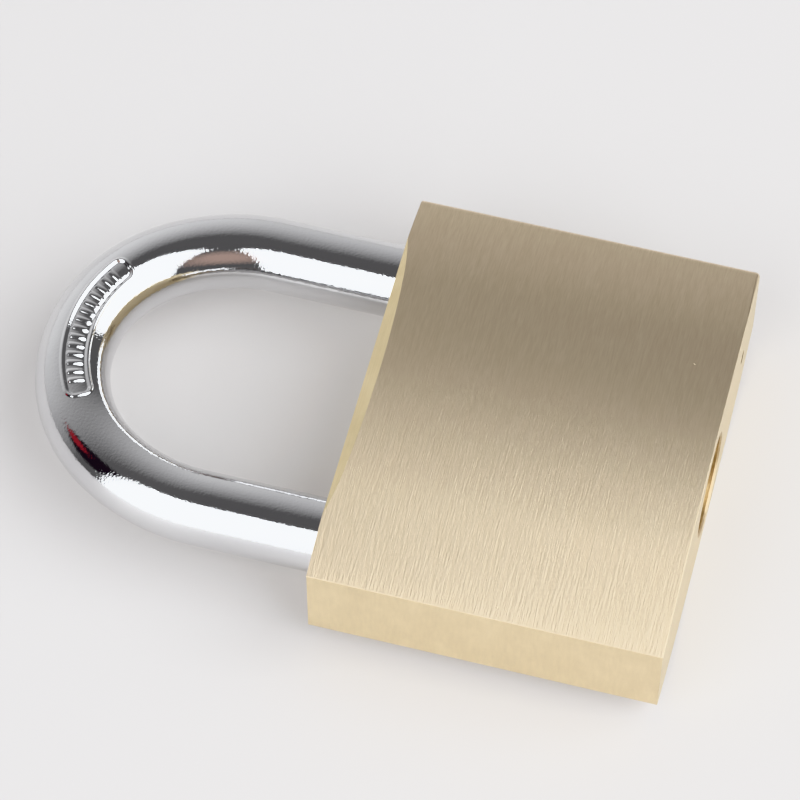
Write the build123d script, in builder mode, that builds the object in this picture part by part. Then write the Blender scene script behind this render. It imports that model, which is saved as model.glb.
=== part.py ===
from build123d import *
import math
import os

# A 50 mm brass padlock, lying on its back face, closed and unlocked.
# Frame: +X across the body towards the heel leg, +Y along the shackle towards its bow,
# +Z up through the thickness. The origin is under the middle of the whole lock.

# ---- driving dimensions, mm ----
body_width = 50.0
body_height = 39.0
edge_thickness = 11.0
thickness = 17.1
crown_radius = 180.0
crown_half_width = 12.0
side_edge_radius = 0.4
end_edge_break = 0.25
bevel_face_rise = 1.8
bevel_angle = 39.5

shackle_diameter = 8.4
leg_spacing = 33.8
leg_rise = 14.5
bow_rise = 18.8
bow_side_radius = 20.9
leg_clearance = 0.15
bore_mouth_break = 0.35
lift = 13.5

toe_depth = 11.5
toe_end_chamfer = 1.4
toe_bore_depth = 12.5
notch_depth = 1.8
notch_side_clearance = 0.3

heel_depth = 29.0
heel_bore_depth = 35.5
heel_end_chamfer = 0.6
neck_radius = 2.8
heel_pin_radius = 1.0
heel_pin_depth = 10.0
heel_pin_shortfall = 0.5
drain_radius = 0.85

plug_radius = 5.8
plug_clearance = 0.05
plug_end_recess = 0.8
plug_end_chamfer = 0.2
plug_length = 24.0
plug_groove_radius = 4.85
plug_groove_play = 0.15
plug_pin_radius = 0.9
plug_pin_depth = 35.6
plug_pin_reach = 2.0
keyway_width = 2.0
keyway_height = 7.4
keyway_length = 20.9
keyway_rise = -1.3
ward_depth = 0.6
ward_height = 1.1
ward_rises = (0.9, -1.5)

cam_radius = 4.2
cam_chamber_radius = 4.5
cam_chamber_top = 5.7
cam_top = 9.0
drive_pin_radius = 1.1
drive_pin_offset = 2.0
drive_pin_top = 6.1
tang_width = 2.9
tang_length = 2.4
tang_inset = 0.3

latch_radius = 2.5
latch_bore_radius = 2.6
latch_depth = 5.5
latch_travel = 2.0
latch_tip_bevel = 1.5
latch_inner_end = 3.5
latch_bore_end = 8.5
latch_notch_gap = 0.2
latch_groove_play = 0.7
latch_plug_web = 0.9

stack_count = 5
first_stack_depth = 18.7
stack_pitch = 3.4
chamber_radius = 1.5
chamber_undercut = 1.2
pin_radius = 1.45
key_pin_end = 5.6
bitting = (3, 5, 2, 6, 4)
bitting_step = 0.35
highest_tip = 2.1
pin_tip_height = 0.9
driver_length = 4.48
driver_gap = 0.07
driver_chamfer = 0.25
pin_spring_length = 7.7

# Springs: coil radius, wire radius and number of turns.
shackle_spring_size = (3.4, 0.35, 6)
latch_spring_size = (1.9, 0.22, 5)
pin_spring_size = (1.1, 0.18, 9)

# Gaps between pieces: pressed in, at a spring's end or a slot's side, and where a stop is reached.
press_gap = 0.02
end_gap = 0.1
stop_gap = 0.2
cam_gap = 0.05

# ---- worked-out places ----
half_width = body_width / 2
mid_z = thickness / 2
leg_radius = shackle_diameter / 2
leg_x = leg_spacing / 2
length_above_body = leg_rise + bow_rise + leg_radius
top_y = (body_height - length_above_body) / 2
bore_radius = leg_radius + leg_clearance
plug_bore_radius = plug_radius + plug_clearance
plug_end = body_height - plug_end_recess
plug_top = plug_end - plug_length
latch_tip = -leg_x + leg_radius + latch_travel - notch_depth + latch_notch_gap
latch_groove_start = -drive_pin_radius - latch_travel - latch_groove_play
latch_groove_end = drive_pin_radius + end_gap
latch_plug_length = half_width - leg_x - bore_radius - latch_plug_web
neck_top = heel_pin_depth - heel_pin_radius - stop_gap
neck_bottom = heel_pin_depth + heel_pin_radius + lift + end_gap
heel_pin_x = leg_x - neck_radius - heel_pin_radius - end_gap
plug_pin_x = plug_groove_radius + plug_pin_radius + plug_groove_play
driver_face = -plug_bore_radius - driver_gap
stack_depths = [first_stack_depth + n * stack_pitch for n in range(stack_count)]


def across(depth):
    """Plane square to the legs, this far below the shackle-end face, centred on the thickness."""
    return Plane(origin=(0, top_y - depth, mid_z), x_dir=(1, 0, 0), z_dir=(0, -1, 0))


def depth_y(depth):
    """Y of a point this far below the shackle-end face."""
    return top_y - depth


def rod(plane, place, radius, length, mode=Mode.ADD):
    """A round bar or, subtracted, a drilled hole, from a plane along its normal."""
    with BuildSketch(plane) as section:
        with Locations(place):
            Circle(radius)
    extrude(section.sketch, amount=length, mode=mode)


def finish(piece, name):
    piece.part.label = name
    export_step(piece.part, f"parts/{name}.step")


def coil(start, direction, length, coil_radius, wire_radius, turns):
    """A plain compression spring between two faces that are length apart."""
    height = length - 2 * wire_radius
    centre = Vector(*start) + Vector(*direction) * wire_radius
    with BuildPart() as spring:
        with BuildLine():
            wire = Helix(height / turns, height, coil_radius, center=centre, direction=direction)
        with BuildSketch(Plane(origin=wire @ 0, z_dir=wire % 0)) as section:
            Circle(wire_radius)
        sweep(section.sketch, path=wire, is_frenet=True)
    return spring


os.makedirs("parts", exist_ok=True)

# ---- outer form of the body: straight sides, crowned faces, bevelled shackle end ----
shoulder_rise = mid_z - crown_radius + math.sqrt(crown_radius**2 - crown_half_width**2)
edge_rise = edge_thickness / 2
bevel_run = body_height / 2
bevel_climb = bevel_run * math.tan(math.radians(bevel_angle))

with BuildPart() as body_form:
    with BuildSketch(across(0)):
        with BuildLine():
            crown = ThreePointArc(
                (crown_half_width, shoulder_rise), (0, mid_z), (-crown_half_width, shoulder_rise)
            )
            TangentArc(crown @ 0, (half_width, edge_rise), tangent=(crown % 0) * -1)
            TangentArc(crown @ 1, (-half_width, edge_rise), tangent=crown % 1)
            mirror(about=Plane.XZ)
            Line((half_width, -edge_rise), (half_width, edge_rise))
            Line((-half_width, -edge_rise), (-half_width, edge_rise))
        make_face()
    extrude(amount=body_height)
    for side_edges in (0, -1):
        fillet(body_form.edges().filter_by(Axis.Y).group_by(Axis.X)[side_edges], side_edge_radius)
    for side_sign in (1, -1):
        bevel_foot = mid_z + side_sign * (edge_rise + bevel_face_rise)
        bevel_head = bevel_foot + side_sign * bevel_climb
        with BuildSketch(Plane.YZ.offset(-half_width)):
            with BuildLine():
                Polyline(
                    (top_y, bevel_foot), (top_y, bevel_head), (top_y - bevel_run, bevel_head), close=True
                )
            make_face()
        extrude(amount=body_width, mode=Mode.SUBTRACT)
    chamfer(body_form.faces().sort_by(Axis.Y)[0].edges(), end_edge_break)

# ---- lock body with every bore that the works need ----
side_face = Plane.YZ.offset(-half_width)

with BuildPart() as lock_body:
    add(body_form.part)
    rod(across(0), (-leg_x, 0), bore_radius, toe_bore_depth, Mode.SUBTRACT)
    rod(across(0), (leg_x, 0), bore_radius, heel_bore_depth, Mode.SUBTRACT)
    rod(across(0), (leg_x, 0), drain_radius, body_height, Mode.SUBTRACT)
    rod(across(plug_top - stop_gap), (0, 0), plug_bore_radius, body_height, Mode.SUBTRACT)
    rod(across(cam_chamber_top), (0, 0), cam_chamber_radius, plug_top - cam_chamber_top, Mode.SUBTRACT)
    latch_axis = (depth_y(latch_depth), mid_z)
    rod(side_face, latch_axis, latch_bore_radius, half_width + latch_bore_end, Mode.SUBTRACT)
    for depth in stack_depths:
        rod(side_face, (depth_y(depth), mid_z), chamber_radius, half_width - plug_radius, Mode.SUBTRACT)
    heel_pin_place = (heel_pin_x, depth_y(heel_pin_depth))
    rod(Plane.XY, heel_pin_place, heel_pin_radius, mid_z + leg_radius, Mode.SUBTRACT)
    plug_pin_place = (plug_pin_x, depth_y(plug_pin_depth))
    rod(Plane.XY, plug_pin_place, plug_pin_radius, mid_z + plug_radius / 2, Mode.SUBTRACT)
    mouths = lock_body.faces().sort_by(Axis.Y)[-1].edges().filter_by(GeomType.CIRCLE)
    chamfer(mouths.group_by(SortBy.RADIUS)[-1], bore_mouth_break)
finish(lock_body, "lock_body")

# ---- shackle: toe leg with its latch notch, three-arc bow, heel leg with its waisted neck ----
# The side arcs sweep until the tighter top arc closes the bow at its measured rise.
side_offset = bow_side_radius - leg_x
closing_ratio = (bow_side_radius - bow_rise) / side_offset
side_sweep = 90 - 2 * math.degrees(math.atan(closing_ratio))
top_radius = bow_side_radius - side_offset / math.cos(math.radians(side_sweep))

with BuildPart() as shackle:
    with BuildLine(Plane.XY.offset(mid_z)):
        toe_side = JernArc((-leg_x, top_y + leg_rise), (0, 1), bow_side_radius, -side_sweep)
        bow_top = JernArc(toe_side @ 1, toe_side % 1, top_radius, -(180 - 2 * side_sweep))
        JernArc(bow_top @ 1, bow_top % 1, bow_side_radius, -side_sweep)
    with BuildSketch(across(-leg_rise)):
        with Locations((-leg_x, 0)):
            Circle(leg_radius)
    sweep()
    rod(across(-leg_rise), (-leg_x, 0), leg_radius, leg_rise + toe_depth)
    rod(across(-leg_rise), (leg_x, 0), leg_radius, leg_rise + neck_top)
    rod(across(neck_top), (leg_x, 0), neck_radius, neck_bottom - neck_top)
    rod(across(neck_bottom), (leg_x, 0), leg_radius, heel_depth - neck_bottom)
    heel_end = shackle.faces().filter_by(Axis.Y).sort_by(Axis.Y)[0]
    chamfer(heel_end.edges(), heel_end_chamfer)
    toe_end = shackle.faces().filter_by(Axis.Y).sort_by(Axis.X)[0]
    chamfer(toe_end.edges(), toe_end_chamfer)
    notch_half_height = latch_radius + notch_side_clearance
    with BuildSketch(Plane.XY):
        with Locations((-leg_x + leg_radius, depth_y(latch_depth))):
            Rectangle(2 * notch_depth, 2 * notch_half_height)
    extrude(amount=thickness, mode=Mode.SUBTRACT)
finish(shackle, "shackle")

shackle_spring = coil(
    (leg_x, depth_y(heel_bore_depth - end_gap), mid_z),
    (0, 1, 0),
    heel_bore_depth - heel_depth - 2 * end_gap,
    *shackle_spring_size,
)
finish(shackle_spring, "shackle_spring")

with BuildPart() as heel_retaining_pin:
    heel_pin_length = mid_z + leg_radius - heel_pin_shortfall
    rod(Plane.XY, heel_pin_place, heel_pin_radius - press_gap, heel_pin_length)
    add(body_form.part, mode=Mode.INTERSECT)
finish(heel_retaining_pin, "heel_retaining_pin")

# ---- plug: keyway across the thickness, five pin chambers, a waist for its retaining pin ----
with BuildPart() as cylinder_plug:
    rod(across(plug_top), (0, 0), plug_radius, plug_length)
    chamfer(cylinder_plug.faces().sort_by(Axis.Y)[0].edges(), plug_end_chamfer)
    groove_half_width = plug_pin_radius + plug_groove_play
    with BuildSketch(across(plug_pin_depth - groove_half_width)):
        Circle(plug_radius)
        Circle(plug_groove_radius, mode=Mode.SUBTRACT)
    extrude(amount=2 * groove_half_width, mode=Mode.SUBTRACT)
    with BuildSketch(across(plug_end - keyway_length)):
        with Locations((0, keyway_rise)):
            Rectangle(keyway_width, keyway_height)
            with Locations((-keyway_width / 2, ward_rises[0]), (keyway_width / 2, ward_rises[1])):
                Rectangle(2 * ward_depth, ward_height, mode=Mode.SUBTRACT)
    extrude(amount=keyway_length, mode=Mode.SUBTRACT)
    with BuildSketch(across(plug_top)):
        Rectangle(tang_width + end_gap, 2 * plug_radius)
    extrude(amount=tang_length + end_gap, mode=Mode.SUBTRACT)
    chamber_floor = Plane.XY.offset(mid_z - chamber_undercut)
    chamber_length = chamber_undercut + plug_radius
    for depth in stack_depths:
        rod(chamber_floor, (0, depth_y(depth)), chamber_radius, chamber_length, Mode.SUBTRACT)
finish(cylinder_plug, "cylinder_plug")

# ---- cam: a disc with a tang in the plug's end slot and an off-centre pin for the latch ----
with BuildPart() as plug_cam:
    rod(across(cam_top), (0, 0), cam_radius, plug_top - cam_top - cam_gap)
    with BuildSketch(across(plug_top - cam_gap)):
        Rectangle(tang_width, 2 * (cam_radius - tang_inset))
    extrude(amount=tang_length)
    rod(across(drive_pin_top), (0, drive_pin_offset), drive_pin_radius, cam_top - drive_pin_top)
finish(plug_cam, "plug_cam")

with BuildPart() as plug_retaining_pin:
    rod(Plane.XY, plug_pin_place, plug_pin_radius - press_gap, mid_z + plug_pin_reach)
    add(body_form.part, mode=Mode.INTERSECT)
finish(plug_retaining_pin, "plug_retaining_pin")

# ---- latch: a round bolt drawn back from the toe, grooved underneath for the cam's pin ----
with BuildPart() as latch_bolt:
    rod(Plane.YZ.offset(latch_tip), latch_axis, latch_radius, latch_inner_end - latch_tip)
    with BuildSketch(Plane.XY):
        with BuildLine():
            Polyline(
                (latch_groove_start, depth_y(cam_chamber_top)),
                (latch_groove_end, depth_y(cam_chamber_top)),
                (latch_groove_end, depth_y(cam_top)),
                (latch_groove_start, depth_y(cam_top)),
                close=True,
            )
        make_face()
        latch_top = depth_y(latch_depth - latch_radius)
        with BuildLine():
            Polyline(
                (latch_tip, latch_top),
                (latch_tip + latch_tip_bevel, latch_top),
                (latch_tip, latch_top - latch_tip_bevel),
                close=True,
            )
        make_face()
    extrude(amount=thickness, mode=Mode.SUBTRACT)
finish(latch_bolt, "latch_bolt")

latch_spring = coil(
    (latch_inner_end + end_gap, depth_y(latch_depth), mid_z),
    (1, 0, 0),
    latch_bore_end - latch_inner_end - 2 * end_gap,
    *latch_spring_size,
)
finish(latch_spring, "latch_spring")

with BuildPart() as latch_bore_plug:
    rod(side_face, latch_axis, latch_bore_radius - press_gap, latch_plug_length)
finish(latch_bore_plug, "latch_bore_plug")

# ---- five pin stacks: key pin in the plug, driver, spring and plug in the body ----
for number, depth in enumerate(stack_depths, start=1):
    stack_y = depth_y(depth)
    tip = highest_tip - bitting[number - 1] * bitting_step

    with BuildPart() as key_pin:
        with BuildSketch(Plane.XZ.offset(-stack_y)):
            with BuildLine():
                Polyline(
                    (0, mid_z + tip),
                    (pin_radius, mid_z + tip + pin_tip_height),
                    (pin_radius, mid_z + key_pin_end),
                    (0, mid_z + key_pin_end),
                    close=True,
                )
            make_face()
        revolve(axis=Axis((0, stack_y, 0), (0, 0, 1)))
    finish(key_pin, f"key_pin_{number}")

    with BuildPart() as driver_pin:
        rod(Plane.YZ.offset(driver_face - driver_length), (stack_y, mid_z), pin_radius, driver_length)
        chamfer(driver_pin.faces().filter_by(Axis.X).edges(), driver_chamfer)
    finish(driver_pin, f"driver_pin_{number}")

    driver_end = driver_face - driver_length
    spring_start = (driver_end - end_gap, stack_y, mid_z)
    pin_spring = coil(spring_start, (-1, 0, 0), pin_spring_length - 2 * end_gap, *pin_spring_size)
    finish(pin_spring, f"pin_spring_{number}")

    with BuildPart() as chamber_plug:
        chamber_plug_length = half_width + driver_end - pin_spring_length
        rod(side_face, (stack_y, mid_z), chamber_radius - press_gap, chamber_plug_length)
    finish(chamber_plug, f"chamber_plug_{number}")
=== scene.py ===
import math

import bmesh
import bpy
from mathutils import Matrix, Vector


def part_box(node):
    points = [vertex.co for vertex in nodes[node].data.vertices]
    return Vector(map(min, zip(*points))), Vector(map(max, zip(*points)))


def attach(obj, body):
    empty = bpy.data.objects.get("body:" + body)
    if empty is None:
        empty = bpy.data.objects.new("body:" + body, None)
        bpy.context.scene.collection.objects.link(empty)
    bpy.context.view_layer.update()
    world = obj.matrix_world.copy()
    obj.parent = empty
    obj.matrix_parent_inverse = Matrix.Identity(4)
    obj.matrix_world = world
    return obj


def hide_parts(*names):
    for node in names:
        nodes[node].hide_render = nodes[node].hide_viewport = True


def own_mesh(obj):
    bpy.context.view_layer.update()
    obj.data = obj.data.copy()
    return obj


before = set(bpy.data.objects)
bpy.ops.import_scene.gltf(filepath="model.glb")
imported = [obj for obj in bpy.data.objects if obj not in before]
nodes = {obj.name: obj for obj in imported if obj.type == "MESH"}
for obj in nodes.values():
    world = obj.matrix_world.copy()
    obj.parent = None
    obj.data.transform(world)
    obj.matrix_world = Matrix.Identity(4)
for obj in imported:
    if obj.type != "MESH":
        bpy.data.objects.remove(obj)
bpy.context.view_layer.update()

# Everything below is in metres, in the frame of the CAD model:
# +X towards the heel leg, +Y towards the shackle's bow, +Z up from the surface it lies on.
MM = 0.001
scene = bpy.context.scene

# ---------------------------------------------------------------- places read from the frame
body_low, body_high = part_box("lock_body")
shackle_low, shackle_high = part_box("shackle")
plug_low, plug_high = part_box("cylinder_plug")
latch_low, latch_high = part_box("latch_bolt")
latch_plug_low, latch_plug_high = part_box("latch_bore_plug")

half_width = body_high.x
mid_z = (body_low.z + body_high.z) / 2
half_thickness = body_high.z - mid_z
top_y = body_high.y
end_y = body_low.y
leg_radius = (shackle_high.z - shackle_low.z) / 2
leg_x = shackle_high.x - leg_radius
heel_depth = top_y - shackle_low.y
stack_numbers = range(1, 6)

# ---------------------------------------------------------------- sizes that the frame doesn't give
# Lock body: its crowned section, the bevels at its shackle end and the roundness of its edges,
# which grows from fine_edge to heel_edge between two shares of the half width.
edge_half = 5.5 * MM
crown_radius = 180 * MM
crown_half = 12 * MM
bevel_face_rise = 1.8 * MM
bevel_angle = math.radians(39.5)
fine_edge = 0.05 * MM
heel_edge = 0.6 * MM
heel_edge_from = 0.7
heel_edge_full = 0.98
side_overlap = 0.015 * MM
body_sharp_fold = math.radians(28)

# Shackle: heights above the body's shackle end, depths below it.
leg_rise = 14.5 * MM
bow_rise = 18.8 * MM
bow_side_radius = 20.9 * MM
toe_depth = 11.5 * MM
toe_chamfer = 1.4 * MM
heel_chamfer = 0.6 * MM
neck_radius = 2.8 * MM
neck_top = 8.8 * MM
neck_bottom = 24.6 * MM
notch_depth = 1.8 * MM
notch_low = 8.3 * MM
notch_high = 2.7 * MM
shackle_sharp_fold = math.radians(32)

# Stamped panel on the bow, by distance along the bar and angle round it. A slope is where the relief
# changes height, as distances from the outline.
cartouche_start = 33.1 * MM
cartouche_end = 52.7 * MM
cartouche_turn = math.radians(97)
cartouche_half_turn = math.radians(21.5)
cartouche_corner = 1.2 * MM
cartouche_margin = 0.5 * MM
lip_height = 0.10 * MM
lip_inset = 0.10 * MM
lip_half_width = 0.34 * MM
field_depth = 0.20 * MM
field_slope = (0.18 * MM, 0.50 * MM)
bar_count = 14
bar_pitch = 1.16 * MM
bar_half_width = 0.27 * MM
bar_corner = 0.25 * MM
bar_end_gap = 0.62 * MM
bar_height = 0.12 * MM
bar_slope = (-0.20 * MM, 0.16 * MM)

# Bores in the body, as in the CAD, but for side_skin, the brass left over a flush plug, so that the plug
# doesn't show as a ring. A bore's cutter starts past_face outside the face, so that the cut is clean.
# press_gap is round a pressed-in piece.
TO_BOW = (0, 1, 0)
TO_KEYWAY = (0, -1, 0)
past_face = 1 * MM
bore_clearance = 0.15 * MM
mouth_chamfer = 0.35 * MM
toe_bore_depth = 12.5 * MM
heel_bore_depth = 35.5 * MM
drain_radius = 0.85 * MM
drain_length = 6 * MM
plug_clearance = 0.05 * MM
plug_back_gap = 0.2 * MM
plug_rim = 0.2 * MM
cam_chamber_radius = 4.5 * MM
cam_chamber_depth = 5.7 * MM
latch_bore_end = 8.5 * MM
pin_chamber_end = 5.8 * MM
cross_pin_end_gap = 0.1 * MM
press_gap = 0.02 * MM
side_skin = 0.03 * MM


# ---------------------------------------------------------------- small helpers
def new_object(name, mesh, *materials):
    piece = bpy.data.objects.new(name, mesh)
    scene.collection.objects.link(piece)
    for material in materials:
        mesh.materials.append(material)
    return piece


def mesh_from(bm, name):
    mesh = bpy.data.meshes.new(name)
    bmesh.ops.recalc_face_normals(bm, faces=bm.faces)
    bm.to_mesh(mesh)
    bm.free()
    return mesh


def apply_modifiers(piece):
    """Swaps the piece's mesh for the mesh that its modifiers make, and drops them."""
    graph = bpy.context.evaluated_depsgraph_get()
    made = bpy.data.meshes.new_from_object(piece.evaluated_get(graph))
    old = piece.data
    piece.modifiers.clear()
    piece.data = made
    bpy.data.meshes.remove(old)


def shade_smooth(piece, sharp_fold):
    """Smooth shading with hard edges where the surface folds by more than sharp_fold."""
    for face in piece.data.polygons:
        face.use_smooth = True
    piece.data.set_sharp_from_angle(angle=sharp_fold)


def axis_turn(direction):
    return Vector((0, 0, 1)).rotation_difference(Vector(direction)).to_matrix().to_4x4()


def cylinder(start, direction, length, radius, end_radius=None, sides=96):
    """A closed bar or cone from start along direction, used to cut a bore."""
    bm = bmesh.new()
    bmesh.ops.create_cone(
        bm,
        cap_ends=True,
        segments=sides,
        radius1=radius,
        radius2=radius if end_radius is None else end_radius,
        depth=length,
        matrix=Matrix.Translation(Vector((0, 0, length / 2))),
    )
    place = Matrix.Translation(Vector(start)) @ axis_turn(direction)
    bmesh.ops.transform(bm, matrix=place, verts=bm.verts)
    return new_object("cutter", mesh_from(bm, "cutter"))


def block(size, middle):
    """A closed box, used to cut a notch."""
    bm = bmesh.new()
    bmesh.ops.create_cube(bm, size=1.0)
    place = Matrix.Translation(middle) @ Matrix.Diagonal((*size, 1))
    bmesh.ops.transform(bm, matrix=place, verts=bm.verts)
    return new_object("cutter", mesh_from(bm, "cutter"))


def cut(piece, cutters, material_index):
    """Takes the cutters' shapes out of the piece; the cut faces get the piece's material of that index."""
    for tool in cutters:
        for material in piece.data.materials:
            tool.data.materials.append(material)
        for face in tool.data.polygons:
            face.material_index = material_index
        modifier = piece.modifiers.new("cut", "BOOLEAN")
        modifier.operation = "DIFFERENCE"
        modifier.solver = "EXACT"
        modifier.object = tool
    apply_modifiers(piece)
    for tool in cutters:
        bpy.data.objects.remove(tool)


def smooth_step(low, high, value):
    """0 up to low, 1 from high on, with a soft rise between."""
    t = min(max((value - low) / (high - low), 0), 1)
    return t * t * (3 - 2 * t)


# ---------------------------------------------------------------- material helpers
# A noise's values lie mostly in CORE, and nearly all in WIDE.
CORE = (0.35, 0.65)
WIDE = (0.3, 0.7)


def material_base(name):
    material = bpy.data.materials.new(name)
    material.use_nodes = True
    tree = material.node_tree
    shader = tree.nodes["Principled BSDF"]
    return material, tree, shader


def add_node(tree, kind, **settings):
    """A new node, with its inputs or properties set by name."""
    node = tree.nodes.new(kind)
    for key, value in settings.items():
        if key in node.inputs:
            node.inputs[key].default_value = value
        else:
            setattr(node, key, value)
    return node


def noise(tree, scale, stretch=(1, 1, 1), detail=3.0, roughness=0.6):
    """Object-space noise; stretch holds how much finer it is along each axis."""
    place = add_node(tree, "ShaderNodeTexCoord")
    mapping = add_node(tree, "ShaderNodeMapping", Scale=stretch)
    grain = add_node(tree, "ShaderNodeTexNoise", Scale=scale, Detail=detail, Roughness=roughness)
    tree.links.new(place.outputs["Object"], mapping.inputs["Vector"])
    tree.links.new(mapping.outputs["Vector"], grain.inputs["Vector"])
    return grain.outputs["Fac"]


def spread(tree, value, low, high, out_low, out_high):
    """Maps value from low..high to out_low..out_high, clamped."""
    ramp = add_node(tree, "ShaderNodeMapRange")
    ramp.inputs["From Min"].default_value = low
    ramp.inputs["From Max"].default_value = high
    ramp.inputs["To Min"].default_value = out_low
    ramp.inputs["To Max"].default_value = out_high
    tree.links.new(value, ramp.inputs["Value"])
    return ramp.outputs["Result"]


def combine(tree, operation, first, second):
    """A maths node; each side is a number or a socket."""
    node = add_node(tree, "ShaderNodeMath", operation=operation)
    for socket, value in zip(node.inputs, (first, second)):
        if isinstance(value, (int, float)):
            socket.default_value = value
        else:
            tree.links.new(value, socket)
    return node.outputs["Value"]


def weighted_sum(tree, first, second, first_share):
    first_part = combine(tree, "MULTIPLY", first, first_share)
    second_part = combine(tree, "MULTIPLY", second, 1 - first_share)
    return combine(tree, "ADD", first_part, second_part)


def mix_colours(tree, factor, first, second):
    """first where factor is 0, second where it is 1; each is a colour or a socket."""
    node = add_node(tree, "ShaderNodeMix", data_type="RGBA")
    first_colour, second_colour, mixed_colour = node.inputs[6], node.inputs[7], node.outputs[2]
    tree.links.new(factor, node.inputs["Factor"])
    for socket, value in ((first_colour, first), (second_colour, second)):
        if hasattr(value, "default_value"):
            tree.links.new(value, socket)
        else:
            socket.default_value = (*value, 1)
    return mixed_colour


def bump(tree, shader, height, distance, strength=1.0, previous=None):
    """Relief on the shader's normal, on top of the previous relief if there is one."""
    node = add_node(tree, "ShaderNodeBump", Distance=distance, Strength=strength)
    tree.links.new(height, node.inputs["Height"])
    if previous is not None:
        tree.links.new(previous, node.inputs["Normal"])
    tree.links.new(node.outputs["Normal"], shader.inputs["Normal"])
    return node.outputs["Normal"]


def sparse_pits(tree, cells_per_metre, share, size):
    """0 almost everywhere, 1 in small round pits, in this share of the cells; size is in cell widths."""
    floor_size = 0.3 * size
    place = add_node(tree, "ShaderNodeTexCoord")
    cells = add_node(tree, "ShaderNodeTexVoronoi", Scale=cells_per_metre)
    tree.links.new(place.outputs["Object"], cells.inputs["Vector"])
    chance = add_node(tree, "ShaderNodeSeparateColor")
    tree.links.new(cells.outputs["Color"], chance.inputs["Color"])
    chosen = combine(tree, "LESS_THAN", chance.outputs["Red"], share)
    near = spread(tree, cells.outputs["Distance"], size, floor_size, 0.0, 1.0)
    return combine(tree, "MULTIPLY", chosen, near)


# ---------------------------------------------------------------- materials
def brushed_brass():
    """Crowned faces: short belt-brushed lines across the body, deepest where the belt ran off the toe edge,
    fading towards the heel half, with a few pits."""
    material, tree, shader = material_base("brass_brushed")
    fine_lines = noise(tree, 1.0, (550, 6600, 550), detail=2)
    broad_lines = noise(tree, 1.0, (220, 2600, 220), detail=3)
    lines = weighted_sum(tree, fine_lines, broad_lines, 0.6)

    dark, light, patch_colour = (0.705, 0.585, 0.42), (0.795, 0.672, 0.50), (0.73, 0.60, 0.43)
    tint = mix_colours(tree, spread(tree, lines, *CORE, 0, 1), dark, light)
    patches = spread(tree, noise(tree, 160.0, detail=4), *WIDE, 0, 0.3)
    tree.links.new(mix_colours(tree, patches, tint, patch_colour), shader.inputs["Base Color"])
    tree.links.new(spread(tree, lines, *WIDE, 0.36, 0.31), shader.inputs["Roughness"])
    shader.inputs["Metallic"].default_value = 1.0

    # The lines stretch highlights along the body's height, so the tangent lies along Y.
    shader.inputs["Anisotropic"].default_value = 0.94
    along = add_node(tree, "ShaderNodeCombineXYZ", Y=1.0)
    tree.links.new(along.outputs["Vector"], shader.inputs["Tangent"])

    toe_edge, toe_edge_inner, heel_fade_end = -24.8 * MM, -22.8 * MM, 9 * MM
    line_depth, pit_depth = 0.045 * MM, 0.03 * MM
    place = add_node(tree, "ShaderNodeTexCoord")
    split = add_node(tree, "ShaderNodeSeparateXYZ")
    tree.links.new(place.outputs["Object"], split.inputs["Vector"])
    run_off = spread(tree, split.outputs["X"], toe_edge, toe_edge_inner, 1.3, 0.9)
    worn = spread(tree, split.outputs["X"], 0.0, heel_fade_end, 1.0, 0.25)
    strength = combine(tree, "MULTIPLY", run_off, worn)
    ridges = combine(tree, "MULTIPLY", combine(tree, "SUBTRACT", lines, 0.5), strength)
    brushed = bump(tree, shader, ridges, line_depth)
    pits = sparse_pits(tree, cells_per_metre=420, share=0.10, size=0.05)
    bump(tree, shader, pits, pit_depth, previous=brushed)
    return material


def plain_brass(name, dark, light, rough, grain, depth=0.004 * MM):
    """Brass mottled between two colours; grain is how fine its tool marks are along each axis."""
    material, tree, shader = material_base(name)
    mottle = noise(tree, 350.0, detail=5, roughness=0.65)
    texture = noise(tree, 1.0, grain, detail=4)
    mixed = weighted_sum(tree, mottle, texture, 0.5)
    tint = mix_colours(tree, spread(tree, mixed, *CORE, 0, 1), dark, light)
    tree.links.new(tint, shader.inputs["Base Color"])
    tree.links.new(spread(tree, mixed, *CORE, rough * 0.9, rough * 1.1), shader.inputs["Roughness"])
    shader.inputs["Metallic"].default_value = 1.0
    bump(tree, shader, texture, depth, 0.6)
    return material


def chrome():
    """Bright plate over a drawn bar: near mirror, with a fine grain that frays the reflections' edges."""
    material, tree, shader = material_base("chrome_plate")
    dark, light = (0.67, 0.67, 0.68), (0.72, 0.72, 0.725)
    ripple_depth, grain_depth = 0.02 * MM, 0.012 * MM
    ripple = noise(tree, 900.0, detail=2)
    grain = noise(tree, 3600.0, detail=2)
    smear = noise(tree, 1.0, (160, 60, 160), detail=3)
    tone = mix_colours(tree, spread(tree, smear, *WIDE, 0, 1), dark, light)
    tree.links.new(tone, shader.inputs["Base Color"])
    tree.links.new(spread(tree, smear, *WIDE, 0.03, 0.06), shader.inputs["Roughness"])
    shader.inputs["Metallic"].default_value = 1.0
    rippled = bump(tree, shader, ripple, ripple_depth, 0.18)
    bump(tree, shader, grain, grain_depth, previous=rippled)
    return material


def steel(name, colour, rough):
    material, tree, shader = material_base(name)
    dark = tuple(0.85 * channel for channel in colour)
    light = tuple(1.1 * channel for channel in colour)
    grain_depth = 0.003 * MM
    grain = noise(tree, 2600.0, detail=3)
    tree.links.new(mix_colours(tree, grain, dark, light), shader.inputs["Base Color"])
    tree.links.new(spread(tree, grain, *WIDE, rough * 0.85, rough * 1.15), shader.inputs["Roughness"])
    shader.inputs["Metallic"].default_value = 1.0
    bump(tree, shader, grain, grain_depth, 0.4)
    return material


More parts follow.
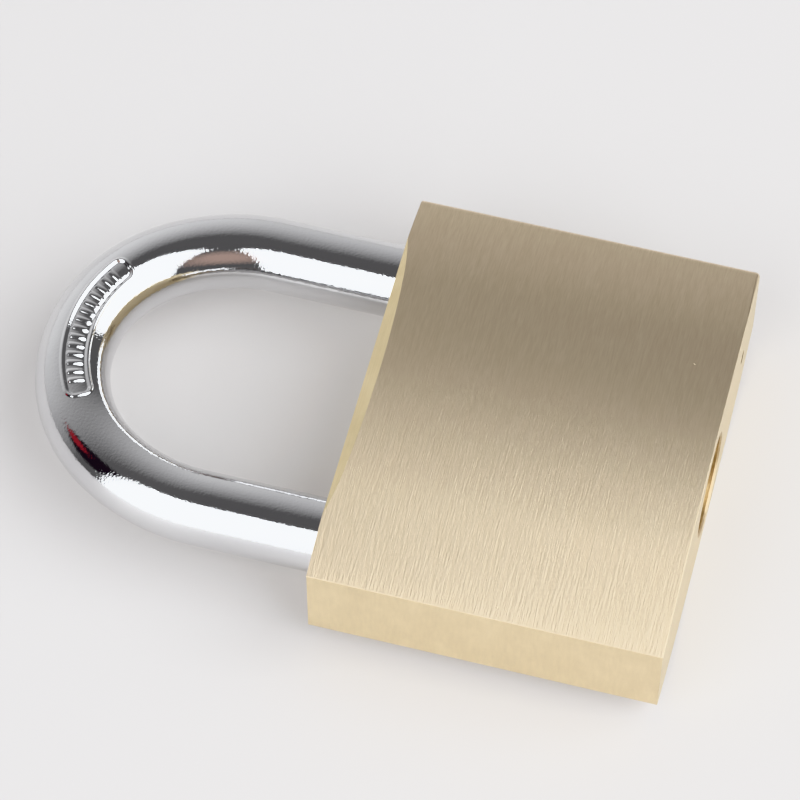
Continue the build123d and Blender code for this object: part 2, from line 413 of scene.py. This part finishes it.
# Each plain brass has its darker and lighter tone, its roughness and how fine its grain is along X, Y, Z.
bored_depth = 0.03 * MM
brass_front = brushed_brass()
brass_side = plain_brass("brass_sawn", (0.74, 0.625, 0.43), (0.82, 0.71, 0.50), 0.55, (500, 2600, 500))
brass_bevel = plain_brass("brass_bevel", (0.74, 0.62, 0.38), (0.84, 0.72, 0.47), 0.38, (260, 5000, 5000))
# The keyway end face gets its own darker, rougher brass.
brass_end = plain_brass("brass_end_darker", (0.60, 0.515, 0.36), (0.67, 0.58, 0.415), 0.5, (500, 2600, 2600))
# The bores' brass is painted much darker than the rest: painted shade inside the bores and on their
# chamfered mouths, such as the crescent round the plug.
painted_shade_bore_brass = plain_brass(
    "bore_brass_painted_shade", (0.42, 0.31, 0.18), (0.66, 0.53, 0.34), 0.32, (1400, 2600, 1400), bored_depth
)
brass_plug = plain_brass("brass_turned", (0.70, 0.57, 0.33), (0.82, 0.70, 0.45), 0.28, (3000, 400, 3000))
chrome_plate = chrome()
steel_pin = steel("steel_ground", (0.56, 0.56, 0.57), 0.30)
steel_wire = steel("steel_wire", (0.42, 0.42, 0.44), 0.25)

NODE_MATERIALS = {
    "cylinder_plug": brass_plug,
    "plug_cam": steel_pin,
    "latch_bolt": steel_pin,
    "latch_bore_plug": brass_side,
    "heel_retaining_pin": steel_pin,
    "plug_retaining_pin": steel_pin,
    "shackle_spring": steel_wire,
    "latch_spring": steel_wire,
}
for number in stack_numbers:
    NODE_MATERIALS[f"key_pin_{number}"] = brass_plug
    NODE_MATERIALS[f"driver_pin_{number}"] = steel_pin
    NODE_MATERIALS[f"pin_spring_{number}"] = steel_wire
    NODE_MATERIALS[f"chamber_plug_{number}"] = brass_side
for name, material in NODE_MATERIALS.items():
    nodes[name].data.materials.clear()
    nodes[name].data.materials.append(material)


# ---------------------------------------------------------------- lock body
BODY_LOOKS = (brass_front, brass_side, brass_bevel, painted_shade_bore_brass, brass_end)


def crown_rise(x):
    """Height of a crowned face over the middle plane: a wide arc that runs tangent into two tighter ones."""
    reach = abs(x)
    arc_centre = half_thickness - crown_radius
    if reach <= crown_half:
        return arc_centre + math.sqrt(crown_radius**2 - reach**2)
    join = Vector((crown_half, arc_centre + math.sqrt(crown_radius**2 - crown_half**2)))
    inward = (Vector((0, arc_centre)) - join).normalized()
    chord = Vector((half_width, edge_half)) - join
    radius = chord.length_squared / (2 * chord.dot(inward))
    centre = join + inward * radius
    return centre.y + math.sqrt(max(radius**2 - (reach - centre.x) ** 2, 0))


def body_outline():
    """The body's section across its legs, anticlockwise from the lower toe-side corner."""
    steps = 60
    reach = half_width + side_overlap
    across = [reach * (2 * i / steps - 1) for i in range(steps + 1)]
    back = [(x, -crown_rise(x)) for x in across]
    front = [(x, crown_rise(x)) for x in reversed(across)]
    return back + front


def body_block():
    """The section run from the keyway end to the shackle end, in a few rows."""
    bm = bmesh.new()
    row_count = 8
    rows = [end_y + (top_y - end_y) * i / row_count for i in range(row_count + 1)]
    outline = body_outline()
    rings = [[bm.verts.new((x, y, mid_z + z)) for x, z in outline] for y in rows]
    count = len(outline)
    for near, far in zip(rings, rings[1:]):
        for i in range(count):
            beside = (i + 1) % count
            bm.faces.new((near[i], near[beside], far[beside], far[i]))
    bm.faces.new(rings[0])
    bm.faces.new(reversed(rings[-1]))
    bmesh.ops.recalc_face_normals(bm, faces=bm.faces)
    return bm


def slice_bevels(bm):
    """Cuts the slanted flat off the front and the back at the shackle end."""
    same_place = 1e-7
    for sign in (1, -1):
        foot = Vector((0, top_y, mid_z + sign * (edge_half + bevel_face_rise)))
        outward = Vector((0, math.sin(bevel_angle), sign * math.cos(bevel_angle)))
        geometry = bm.verts[:] + bm.edges[:] + bm.faces[:]
        sliced = bmesh.ops.bisect_plane(
            bm, geom=geometry, plane_co=foot, plane_no=outward, clear_outer=True
        )
        rim = [item for item in sliced["geom_cut"] if isinstance(item, bmesh.types.BMEdge)]
        bmesh.ops.contextual_create(bm, geom=rim)
    bmesh.ops.remove_doubles(bm, verts=bm.verts, dist=same_place)
    bmesh.ops.recalc_face_normals(bm, faces=bm.faces)


def face_look(normal):
    """The brass that a face of the block shows, from the way it faces."""
    square, slanted = 0.9, 0.3
    if abs(normal.y) > square:
        return brass_end if normal.y < 0 else brass_side
    if abs(normal.y) > slanted:
        return brass_bevel
    if abs(normal.x) > square:
        return brass_side
    return brass_front


def weigh_edges(bm):
    """Marks how round each folded edge gets: near sharp, growing to the heel side's roundness. The
    crosswise edges at the shackle end stay sharp."""
    least_fold = math.radians(14)
    end_zone = top_y - 1 * MM
    softness = bm.edges.layers.float.new("bevel_weight_edge")
    for edge in bm.edges:
        corners = [corner.co for corner in edge.verts]
        crosswise = corners[0].x != corners[1].x
        at_shackle_end = max(corner.y for corner in corners) > end_zone
        if edge.calc_face_angle() > least_fold and not (crosswise and at_shackle_end):
            heel_reach = min(corner.x for corner in corners) / half_width
            heel_share = smooth_step(heel_edge_from, heel_edge_full, heel_reach)
            edge[softness] = (fine_edge + (heel_edge - fine_edge) * heel_share) / heel_edge


def make_body():
    bm = body_block()
    slice_bevels(bm)
    for face in bm.faces:
        face.smooth = True
        face.material_index = BODY_LOOKS.index(face_look(face.normal))
    weigh_edges(bm)
    piece = new_object("lock_body_brass", mesh_from(bm, "lock_body_brass"), *BODY_LOOKS)
    soften = piece.modifiers.new("edge", "BEVEL")
    soften.width = heel_edge
    soften.segments = 4
    soften.limit_method = "WEIGHT"
    soften.use_clamp_overlap = False
    apply_modifiers(piece)
    bores = leg_bores() + plug_and_cam_bores() + side_bores() + cross_pin_bores()
    # The cut walls take the bores' brass, darkened with painted shade.
    cut(piece, bores, BODY_LOOKS.index(painted_shade_bore_brass))
    shade_smooth(piece, body_sharp_fold)
    level = piece.modifiers.new("even_normals", "WEIGHTED_NORMAL")
    level.keep_sharp = True
    apply_modifiers(piece)
    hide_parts("lock_body")
    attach(piece, "body")


def leg_bores():
    """The two legs' bores with their chamfered mouths, and the drain under the heel bore."""
    bore = leg_radius + bore_clearance
    cutters = []
    for x, depth in ((-leg_x, toe_bore_depth), (leg_x, heel_bore_depth)):
        start, mouth = (x, top_y + past_face, mid_z), (x, top_y + mouth_chamfer, mid_z)
        cutters.append(cylinder(start, TO_KEYWAY, depth + past_face, bore))
        cutters.append(cylinder(mouth, TO_KEYWAY, 2 * mouth_chamfer, bore + 2 * mouth_chamfer, bore))
    cutters.append(cylinder((leg_x, end_y - past_face, mid_z), TO_BOW, drain_length, drain_radius, sides=48))
    return cutters


def plug_and_cam_bores():
    """The plug's bore with its chamfered rim, and the cam's wider chamber behind it."""
    bore = (plug_high.x - plug_low.x) / 2 + plug_clearance
    bore_length = plug_high.y - end_y + past_face + plug_back_gap
    chamber_start = plug_high.y - past_face
    chamber_length = top_y - cam_chamber_depth - chamber_start
    return [
        cylinder((0, end_y - past_face, mid_z), TO_BOW, bore_length, bore),
        cylinder((0, end_y - plug_rim, mid_z), TO_BOW, 2 * plug_rim, bore + 2 * plug_rim, bore),
        cylinder((0, chamber_start, mid_z), TO_BOW, chamber_length, cam_chamber_radius),
    ]


def side_bores():
    """The latch's bore and the five pin chambers, from just under the skin of the toe-side face."""
    inward = (1, 0, 0)
    under_skin = -half_width + side_skin
    latch_y = (latch_low.y + latch_high.y) / 2
    latch_bore = (latch_plug_high.y - latch_plug_low.y) / 2 + press_gap
    latch_start = (under_skin, latch_y, mid_z)
    cutters = [cylinder(latch_start, inward, latch_bore_end - under_skin, latch_bore)]
    for number in stack_numbers:
        low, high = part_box(f"chamber_plug_{number}")
        radius = (high.y - low.y) / 2 + press_gap
        start = (under_skin, (low.y + high.y) / 2, mid_z)
        cutters.append(cylinder(start, inward, half_width - pin_chamber_end, radius, sides=64))
    return cutters


def cross_pin_bores():
    """The two retaining pins' holes, drilled from the back face."""
    cutters = []
    for name in ("heel_retaining_pin", "plug_retaining_pin"):
        low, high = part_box(name)
        middle = (low + high) / 2
        radius = (high.x - low.x) / 2 + press_gap
        length = high.z + past_face + cross_pin_end_gap
        cutters.append(cylinder((middle.x, middle.y, -past_face), (0, 0, 1), length, radius, sides=64))
    return cutters


# ---------------------------------------------------------------- shackle
def bow_geometry():
    """The bow is a side arc, a top arc and a side arc, all tangent. Gives how far across the middle the
    side arcs' centres lie, the angle that each side arc sweeps, and the top arc's radius."""
    offset = bow_side_radius - leg_x
    sweep = math.pi / 2 - 2 * math.atan((bow_side_radius - bow_rise) / offset)
    top_radius = bow_side_radius - offset / math.cos(sweep)
    return offset, sweep, top_radius


def path_point(distance):
    """The bar's centre and its outward direction, by distance from the body's end face up the toe leg."""
    offset, sweep, top_radius = bow_geometry()
    start_y = top_y + leg_rise
    side_length = bow_side_radius * sweep
    top_length = top_radius * (math.pi - 2 * sweep)
    run = distance - leg_rise
    if run <= 0:
        return Vector((-leg_x, top_y + distance, mid_z)), Vector((-1, 0, 0))
    if run > 2 * side_length + top_length:
        beyond = run - 2 * side_length - top_length
        return Vector((leg_x, start_y - beyond, mid_z)), Vector((1, 0, 0))
    if run <= side_length:
        angle = run / bow_side_radius
        centre, radius = Vector((offset, start_y, mid_z)), bow_side_radius
    elif run <= side_length + top_length:
        angle = sweep + (run - side_length) / top_radius
        centre, radius = Vector((0, start_y + offset * math.tan(sweep), mid_z)), top_radius
    else:
        angle = math.pi - sweep + (run - side_length - top_length) / bow_side_radius
        centre, radius = Vector((-offset, start_y, mid_z)), bow_side_radius
    outward = Vector((-math.cos(angle), math.sin(angle), 0))
    return centre + outward * radius, outward


def slot_distance(along, across, half_length, half_height, corner):
    """Signed distance to a rounded rectangle, negative inside."""
    dx = abs(along) - (half_length - corner)
    dy = abs(across) - (half_height - corner)
    outside = math.hypot(max(dx, 0), max(dy, 0))
    return outside + min(max(dx, dy), 0) - corner


def cartouche_relief(distance, turn):
    """Stamped panel on the bow: a sunk field with a thin raised lip and a row of plain raised bars."""
    along = distance - (cartouche_start + cartouche_end) / 2
    across = (turn - cartouche_turn) * leg_radius
    half_length = (cartouche_end - cartouche_start) / 2
    half_height = cartouche_half_turn * leg_radius
    edge = slot_distance(along, across, half_length, half_height, cartouche_corner)
    if edge > cartouche_margin:
        return 0.0
    lip = lip_height * (1 - smooth_step(0.0, lip_half_width, abs(edge + lip_inset)))
    field = -field_depth * smooth_step(*field_slope, -edge)
    nearest = min(max(math.floor(along / bar_pitch), -bar_count // 2), bar_count // 2 - 1)
    from_bar = along - (nearest + 0.5) * bar_pitch
    bar = slot_distance(from_bar, across, bar_half_width, half_height - bar_end_gap, bar_corner)
    raised = bar_height * (1 - smooth_step(*bar_slope, bar))
    return field + raised + lip


def shackle_radius(distance, path_length):
    """Bar radius along the path, with the toe's chamfer, the heel's waist and its end chamfer."""
    from_toe_end = distance + toe_depth
    depth = distance - path_length
    if from_toe_end < toe_chamfer:
        return leg_radius - toe_chamfer + from_toe_end
    if neck_top <= depth <= neck_bottom:
        return neck_radius
    if depth > heel_depth - heel_chamfer:
        return leg_radius - heel_chamfer + (heel_depth - depth)
    return leg_radius


def ring_turns():
    """Angles round the bar, close together over the stamped panel."""
    fine_reach = math.radians(32)
    fine_step, plain_step = math.radians(0.55), math.radians(3)
    fine = int(2 * fine_reach / fine_step)
    turns = [cartouche_turn - fine_reach + i * fine_step for i in range(fine + 1)]
    rest = 2 * math.pi - fine * fine_step
    plain = int(rest / plain_step)
    return turns + [turns[-1] + i * rest / plain for i in range(1, plain)]


def ring_stations(path_length):
    """Distances along the bar where it has a ring of points, close together over the stamped panel,
    and one on each side of each of the waist's shoulders."""
    plain_spacing, panel_spacing = 0.8 * MM, 0.065 * MM
    panel_reach = 0.6 * MM
    shoulder_half = 0.01 * MM
    first_toe_ring = -9 * MM
    heel_rings = (2 * MM, 5 * MM)
    place_digits = 7
    panel_low, panel_high = cartouche_start - panel_reach, cartouche_end + panel_reach

    def fill(low, high, spacing):
        count = max(int((high - low) / spacing), 1)
        return [low + (high - low) * i / count for i in range(count + 1)]

    stations = [-toe_depth, toe_chamfer - toe_depth]
    stations += fill(first_toe_ring, panel_low, plain_spacing)
    stations += fill(panel_low, panel_high, panel_spacing)
    stations += fill(panel_high, path_length, plain_spacing)
    stations += [path_length + depth for depth in heel_rings]
    for shoulder in (neck_top, neck_bottom):
        stations += [path_length + shoulder - shoulder_half, path_length + shoulder + shoulder_half]
    stations += [path_length + heel_depth - heel_chamfer, path_length + heel_depth]
    return sorted(set(round(station, place_digits) for station in stations))


def shackle_bar():
    """The whole bar, without the latch's notch."""
    upward = Vector((0, 0, 1))
    _, sweep, top_radius = bow_geometry()
    path_length = 2 * leg_rise + 2 * bow_side_radius * sweep + top_radius * (math.pi - 2 * sweep)
    turns = ring_turns()
    bm = bmesh.new()
    rings = []
    for distance in ring_stations(path_length):
        centre, outward = path_point(distance)
        radius = shackle_radius(distance, path_length)
        near_panel = cartouche_start - cartouche_margin < distance < cartouche_end + cartouche_margin
        ring = []
        for turn in turns:
            relief = cartouche_relief(distance, turn) if near_panel else 0.0
            direction = outward * math.cos(turn) + upward * math.sin(turn)
            ring.append(bm.verts.new(centre + direction * (radius + relief)))
        rings.append(ring)
    around = len(turns)
    for near, far in zip(rings, rings[1:]):
        for i in range(around):
            beside = (i + 1) % around
            bm.faces.new((near[i], far[i], far[beside], near[beside]))
    bm.faces.new(rings[0])
    bm.faces.new(reversed(rings[-1]))
    return bm


def make_shackle():
    piece = new_object("shackle_chromed", mesh_from(shackle_bar(), "shackle_chromed"), chrome_plate)
    notch_size = Vector((2 * notch_depth, notch_low - notch_high, 4 * leg_radius))
    notch_middle = Vector((-leg_x + leg_radius, top_y - (notch_low + notch_high) / 2, mid_z))
    cut(piece, [block(notch_size, notch_middle)], 0)
    shade_smooth(piece, shackle_sharp_fold)
    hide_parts("shackle")
    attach(piece, "shackle")


# ---------------------------------------------------------------- springs behind the drivers
def make_chamber_coil(number):
    """The spring behind a driver: a copy of the CAD spring, set to ride with the body."""
    spring, slide = f"pin_spring_{number}", f"driver_{number}_slide"
    piece = new_object(f"chamber_coil_{number}", nodes[spring].data.copy())
    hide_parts(spring)
    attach(piece, "body")
    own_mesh(piece)


make_body()
make_shackle()
for number in stack_numbers:
    make_chamber_coil(number)


# ---------------------------------------------------------------- floor, light and camera
def make_floor():
    """A large pale card that glows a little by itself, so that it is nearly shadowless."""
    half_side = 4.0
    dark, light = (0.45, 0.438, 0.438), (0.468, 0.453, 0.449)
    bm = bmesh.new()
    bmesh.ops.create_grid(bm, x_segments=1, y_segments=1, size=half_side)
    material, tree, shader = material_base("floor_card")
    shade = noise(tree, 3.0, detail=2)
    tone = mix_colours(tree, spread(tree, shade, *WIDE, 0, 1), dark, light)
    tree.links.new(tone, shader.inputs["Base Color"])
    shader.inputs["Emission Color"].default_value = (1.0, 0.98, 0.97, 1.0)
    shader.inputs["Emission Strength"].default_value = 0.2
    shader.inputs["Roughness"].default_value = 0.5
    shader.inputs["Specular IOR Level"].default_value = 0.3
    floor = new_object("floor", mesh_from(bm, "floor"), material)


def make_backdrop():
    """A pale dome that only the camera sees, so that low views have a plain background."""
    dome_radius = 3.9
    bm = bmesh.new()
    bmesh.ops.create_uvsphere(bm, u_segments=48, v_segments=24, radius=dome_radius)
    material = bpy.data.materials.new("backdrop")
    material.use_nodes = True
    tree = material.node_tree
    tree.nodes.clear()
    glow = add_node(tree, "ShaderNodeEmission", Color=(0.72, 0.72, 0.73, 1))
    out = add_node(tree, "ShaderNodeOutputMaterial")
    tree.links.new(glow.outputs["Emission"], out.inputs["Surface"])
    dome = new_object("backdrop", mesh_from(bm, "backdrop"), material)
    dome.visible_glossy = False
    dome.visible_diffuse = False
    dome.visible_transmission = False
    dome.visible_shadow = False


PANEL_COLOUR = (0.95, 0.98, 1.0)


def softbox(name, foot, head, width, radiance):
    """A soft panel turned to the lock; foot and head are the middles of its lower and upper edges."""
    foot, head = Vector(foot), Vector(head)
    middle = (foot + head) / 2
    rise = (head - foot).normalized()
    facing = (-middle - rise * rise.dot(-middle)).normalized()
    side = rise.cross(-facing)
    data = bpy.data.lights.new(name, "AREA")
    data.shape = "RECTANGLE"
    data.size = width
    data.size_y = (head - foot).length
    data.energy = math.pi * radiance * data.size * data.size_y
    data.color = PANEL_COLOUR
    lamp = bpy.data.objects.new(name, data)
    scene.collection.objects.link(lamp)
    turned = Matrix((side, rise, -facing)).transposed().to_4x4()
    lamp.matrix_world = Matrix.Translation(middle) @ turned
    lamp.visible_camera = False


def make_world():
    """Grey room, dark past the keyway end and toe leg and pale past the bow and heel leg, with three
    soft patches that the chrome mirrors: a warm one, a dark one, and a small dim red one in the dark."""
    dark_room, pale_room = (0.156, 0.154, 0.156), (0.88, 0.88, 0.89)
    warm, dark, dim_red = (0.52, 0.39, 0.34), (0.03, 0.025, 0.03), (0.33, 0.05, 0.06)
    past_bow_and_heel, over_toe_leg = (1, 1, 0), (-0.76, -0.24, 0.62)
    over_bow, farther_past_bow = (-0.40, 0.72, 0.56), (-0.24, 0.80, 0.545)
    world = bpy.data.worlds.new("room")
    scene.world = world
    world.use_nodes = True
    tree = world.node_tree
    background = tree.nodes["Background"]
    place = add_node(tree, "ShaderNodeTexCoord")

    def towards(direction, outer, inner):
        """0 up to the cosine outer from this direction, 1 within the cosine inner."""
        reach = add_node(tree, "ShaderNodeVectorMath", operation="DOT_PRODUCT")
        reach.inputs[1].default_value = Vector(direction).normalized()
        tree.links.new(place.outputs["Generated"], reach.inputs[0])
        return spread(tree, reach.outputs["Value"], outer, inner, 0.0, 1.0)

    room = mix_colours(tree, towards(past_bow_and_heel, 0.28, 1.0), dark_room, pale_room)
    room = mix_colours(tree, towards(over_toe_leg, 0.92, 0.99), room, warm)
    room = mix_colours(tree, towards(over_bow, 0.945, 0.975), room, dark)
    room = mix_colours(tree, towards(farther_past_bow, 0.9915, 0.9965), room, dim_red)
    tree.links.new(room, background.inputs["Color"])


def make_camera():
    """Long lens above the toe side, looking down on the crowned face."""
    target = Vector((1.91, -2.61, 8.55)) * MM
    heading, elevation, distance = math.radians(75.43), math.radians(59.15), 450.2 * MM
    data = bpy.data.cameras.new("camera")
    data.sensor_width = 36.0
    data.lens = 182.4
    data.clip_start = 0.01
    data.clip_end = 50.0
    camera = bpy.data.objects.new("camera", data)
    scene.collection.objects.link(camera)
    away = Vector((
        -math.sin(heading) * math.cos(elevation),
        -math.cos(heading) * math.cos(elevation),
        math.sin(elevation),
    ))
    camera.location = target + away * distance
    camera.rotation_euler = (-away).to_track_quat("-Z", "Y").to_euler()
    scene.camera = camera


make_floor()
make_backdrop()
softbox(
    "softbox_bow_side",
    foot=(-1.0, 0.51, 0.008),
    head=(-0.69, 0.34, 1.80),
    width=0.84,
    radiance=3.1,
)
softbox(
    "softbox_keyway_side",
    foot=(-0.145, -1.10, -0.07),
    head=(0.04, -0.43, 1.66),
    width=1.37,
    radiance=3.65,
)
make_world()
make_camera()
scene.view_settings.view_transform = "Khronos PBR Neutral"
scene.view_settings.exposure = 0.12
